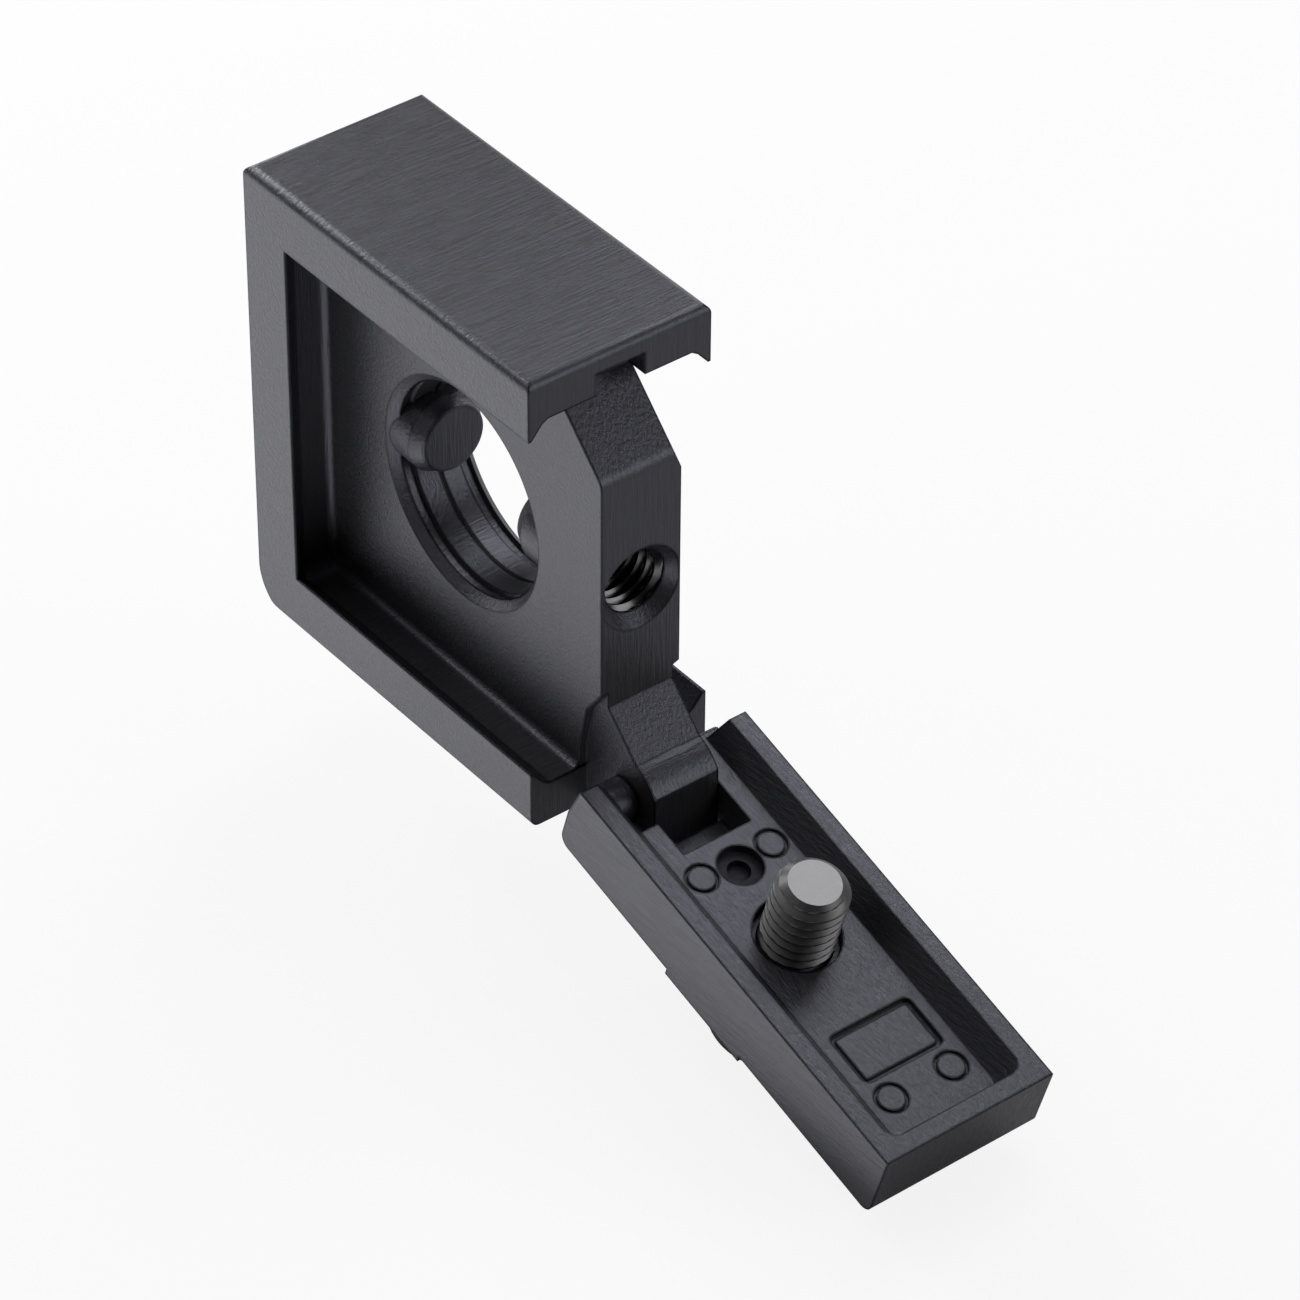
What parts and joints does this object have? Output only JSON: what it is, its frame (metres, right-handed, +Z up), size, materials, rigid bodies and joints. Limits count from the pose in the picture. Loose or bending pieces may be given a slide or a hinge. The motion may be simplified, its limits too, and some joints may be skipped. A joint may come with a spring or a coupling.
{
  "type": "modular tube connector",
  "caption": "C-shaped cast clamp frame with claw lips, a centre web with an air passage, and a hinged door with a captive clamp screw.",
  "frame": {"origin": "centre of the air passage on the middle plane of the centre web", "axes": "+X to the door side, +Y along the air passage, +Z up towards the top plate"},
  "size_m": [0.0784, 0.017, 0.0542],
  "materials": {
    "black_casting": "satin black coating over a die casting",
    "black_casting_door": "satin black coating over a die casting",
    "pin_steel": "plain ground steel",
    "screw_steel": "darkened steel with a bright machined tip",
    "retainer_plastic": "matt black nylon"
  },
  "bodies": {
    "frame": {"clamp_body": "black_casting"},
    "door": {"door": "black_casting_door", "hinge_pin": "pin_steel"},
    "retainer": {"screw_retainer": "retainer_plastic"},
    "screw": {"clamp_screw": "screw_steel"}
  },
  "joints": [
    {"name": "door_hinge", "type": "hinge", "parent": "frame", "child": "door", "pos_m": [0.0199, 0, -0.0174], "axis": [0, 1, 0], "range_deg": [-106.5, 0]},
    {"name": "screw_turn", "type": "hinge", "parent": "door", "child": "retainer", "pos_m": [0.03658, 0, -0.02234], "axis": [0.284, 0, 0.9588], "continuous": true},
    {"name": "screw_slide", "type": "slide", "parent": "retainer", "child": "screw", "axis": [-0.284, 0, -0.9588], "range_m": [0, 0.0054]}
  ],
  "couplings": [
    {"joint": "screw_slide", "follows": "door_hinge", "m_per_rad": -0.002905}
  ]
}
